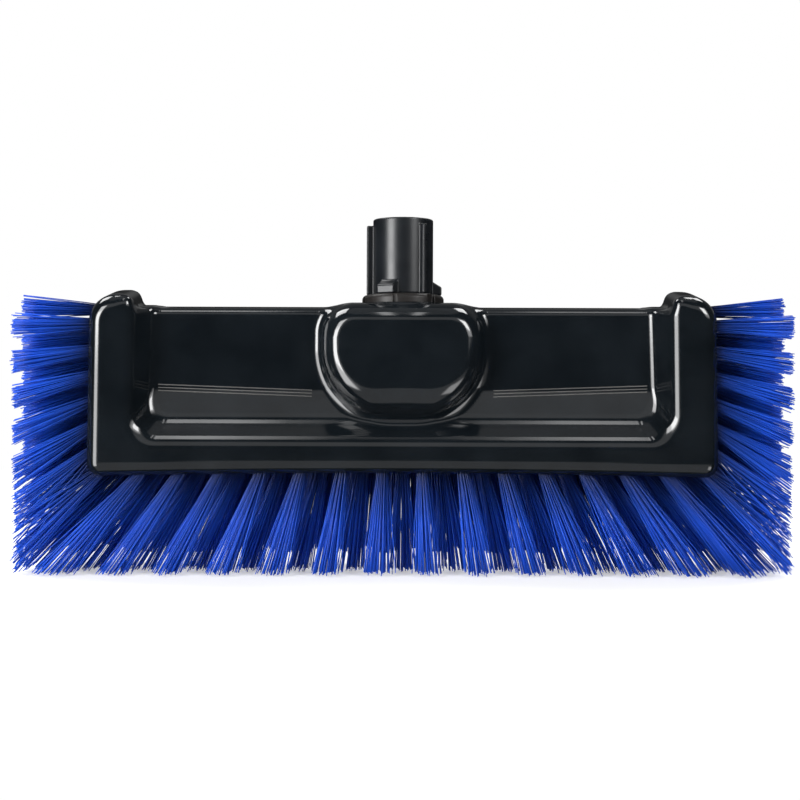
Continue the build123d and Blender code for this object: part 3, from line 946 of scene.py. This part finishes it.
# Lamps: name, place, size and power. Places and sizes are in metres.
LAMPS = (
    ("left_softbox", (-0.95, -0.85, 0.45), (0.5, 0.9), 17.0),
    ("right_softbox", (0.9, -0.85, 0.7), (0.4, 0.4), 8.0),
    ("left_overhead", (-0.82, 0.49, 1.22), (0.6, 0.6), 12.0),
    ("right_overhead", (0.64, 0.59, 1.29), (0.5, 0.5), 8.0),
)
LAMP_TARGET = (0.0, 0.0, 0.07)

# The camera, in metres and degrees, with its lens and its sensor in millimetres
CAMERA_DISTANCE = 1.05
CAMERA_ELEVATION = 5.2
CAMERA_ROLL = 0.2
CAMERA_LENS = 118.0
CAMERA_SENSOR = 36.0
CAMERA_TARGET = (-0.00105, 0.0, 0.0684)


def seen_directly(tree, path):
    """One where the camera looks, also through something clear, and otherwise nought."""
    return math_node(tree, "MAXIMUM", path.outputs["Is Camera Ray"], path.outputs["Is Transmission Ray"])


def glow(tree, strength):
    """A white emission shader."""
    emission = tree.nodes.new("ShaderNodeEmission")
    emission.inputs["Strength"].default_value = strength
    return emission.outputs["Emission"]


def mixed_shader(tree, factor, shader_a, shader_b):
    """A shader between a and b."""
    mix = tree.nodes.new("ShaderNodeMixShader")
    tree.links.new(factor, mix.inputs["Fac"])
    tree.links.new(shader_a, mix.inputs[1])
    tree.links.new(shader_b, mix.inputs[2])
    return mix.outputs["Shader"]


def floor_material():
    """Pale floor: shadowed near the brush, plain white further out, and clear to reflections."""
    material, tree, shader = new_material("floor_white")
    shader.inputs["Base Color"].default_value = (0.8, 0.8, 0.8, 1.0)
    shader.inputs["Roughness"].default_value = 0.9
    shader.inputs["Specular IOR Level"].default_value = 0.0
    near = tree.nodes.new("ShaderNodeAddShader")
    tree.links.new(shader.outputs["BSDF"], near.inputs[0])
    tree.links.new(glow(tree, FLOOR_GLOW), near.inputs[1])

    place = tree.nodes.new("ShaderNodeTexCoord")
    length = tree.nodes.new("ShaderNodeVectorMath")
    length.operation = "LENGTH"
    tree.links.new(place.outputs["Object"], length.inputs[0])
    farness = ramp(tree, length.outputs["Value"], 0.0, 1.0, *FLOOR_FADE)
    seen = mixed_shader(tree, farness, near.outputs["Shader"], glow(tree, 1.0))

    path = tree.nodes.new("ShaderNodeLightPath")
    lit = mixed_shader(tree, seen_directly(tree, path), shader.outputs["BSDF"], seen)
    clear = tree.nodes.new("ShaderNodeBsdfTransparent")
    whole = mixed_shader(tree, path.outputs["Is Glossy Ray"], lit, clear.outputs["BSDF"])
    tree.links.new(whole, tree.nodes["Material Output"].inputs["Surface"])
    return material


def build_floor():
    """A wide pale floor."""
    corners = ((-1, -1, 0), (1, -1, 0), (1, 1, 0), (-1, 1, 0))
    points = np.array(corners) * FLOOR_HALF
    floor = mesh_object("floor", points, [np.array([[0, 1, 2, 3]])], floor_material())


def within(tree, value, start, stop, edge):
    """One where the value lies from start to stop, with soft edges, and otherwise nought."""
    rise = ramp(tree, value, 0.0, 1.0, start - edge, start + edge)
    fall = ramp(tree, value, 1.0, 0.0, stop - edge, stop + edge)
    return math_node(tree, "MULTIPLY", rise, fall)


def studio_brightness(tree):
    """How bright the mirrored studio is in each direction."""
    place = tree.nodes.new("ShaderNodeTexCoord")
    split = tree.nodes.new("ShaderNodeSeparateXYZ")
    tree.links.new(place.outputs["Generated"], split.inputs["Vector"])
    leftward = math_node(tree, "MULTIPLY", split.outputs["X"], -1.0)
    frontward = math_node(tree, "MULTIPLY", split.outputs["Y"], -1.0)
    bearing = math_node(tree, "DEGREES", math_node(tree, "ARCTAN2", leftward, frontward))
    height = math_node(tree, "DEGREES", math_node(tree, "ARCSINE", split.outputs["Z"]))
    brightest = STUDIO_DARK
    for from_bearing, to_bearing, from_height, to_height, brightness in STUDIO:
        patch = within(tree, bearing, from_bearing, to_bearing, STUDIO_EDGE)
        patch = math_node(tree, "MULTIPLY", patch, brightness)
        level = within(tree, height, from_height, to_height, STUDIO_EDGE)
        patch = math_node(tree, "MULTIPLY", patch, level)
        brightest = math_node(tree, "MAXIMUM", patch, brightest)
    above = ramp(tree, split.outputs["Z"], 0.0, 1.0, *OVERHEAD_RISE)
    reach = within(tree, frontward, *OVERHEAD_REACH, OVERHEAD_EDGE)
    for from_left, to_left, brightness in OVERHEAD:
        patch = within(tree, leftward, from_left, to_left, OVERHEAD_EDGE)
        patch = math_node(tree, "MULTIPLY", patch, brightness)
        patch = math_node(tree, "MULTIPLY", math_node(tree, "MULTIPLY", patch, reach), above)
        brightest = math_node(tree, "MAXIMUM", patch, brightest)
    return brightest


def build_world():
    """White where the camera looks, a mirrored studio for reflections, and soft fill light."""
    world = bpy.data.worlds.new("studio")
    bpy.context.scene.world = world
    world.use_nodes = True
    tree = world.node_tree
    tree.nodes.clear()
    path = tree.nodes.new("ShaderNodeLightPath")
    light = tree.nodes.new("ShaderNodeMix")
    light.inputs["A"].default_value = AMBIENT
    tree.links.new(path.outputs["Is Glossy Ray"], light.inputs["Factor"])
    tree.links.new(studio_brightness(tree), light.inputs["B"])
    strength = math_node(tree, "MAXIMUM", light.outputs["Result"], seen_directly(tree, path))
    background = tree.nodes.new("ShaderNodeBackground")
    background.inputs["Color"].default_value = (1.0, 1.0, 1.0, 1.0)
    tree.links.new(strength, background.inputs["Strength"])
    output = tree.nodes.new("ShaderNodeOutputWorld")
    tree.links.new(background.outputs["Background"], output.inputs["Surface"])


def build_lamps():
    """Rectangular softboxes that face the brush."""
    for name, place, size, power in LAMPS:
        data = bpy.data.lights.new(name, "AREA")
        data.shape = "RECTANGLE"
        data.size, data.size_y = size
        data.energy = power
        lamp = new_object(name, data)
        lamp.location = place
        facing = Vector(LAMP_TARGET) - Vector(place)
        lamp.rotation_euler = facing.to_track_quat("-Z", "Y").to_euler()


def build_camera():
    """The camera: almost level, in front, with a long lens."""
    data = bpy.data.cameras.new("camera")
    data.lens = CAMERA_LENS
    data.sensor_width = CAMERA_SENSOR
    camera = new_object("camera", data)
    lift = math.radians(CAMERA_ELEVATION)
    away = Vector((0.0, -math.cos(lift), math.sin(lift)))
    camera.location = Vector(CAMERA_TARGET) + away * CAMERA_DISTANCE
    camera.rotation_euler = (-away).to_track_quat("-Z", "Y").to_euler()
    camera.rotation_euler.rotate_axis("Z", math.radians(CAMERA_ROLL))
    bpy.context.scene.camera = camera


build_mouldings()
build_bristles()
build_floor()
build_world()
build_lamps()
build_camera()
bpy.context.scene.view_settings.view_transform = "Standard"
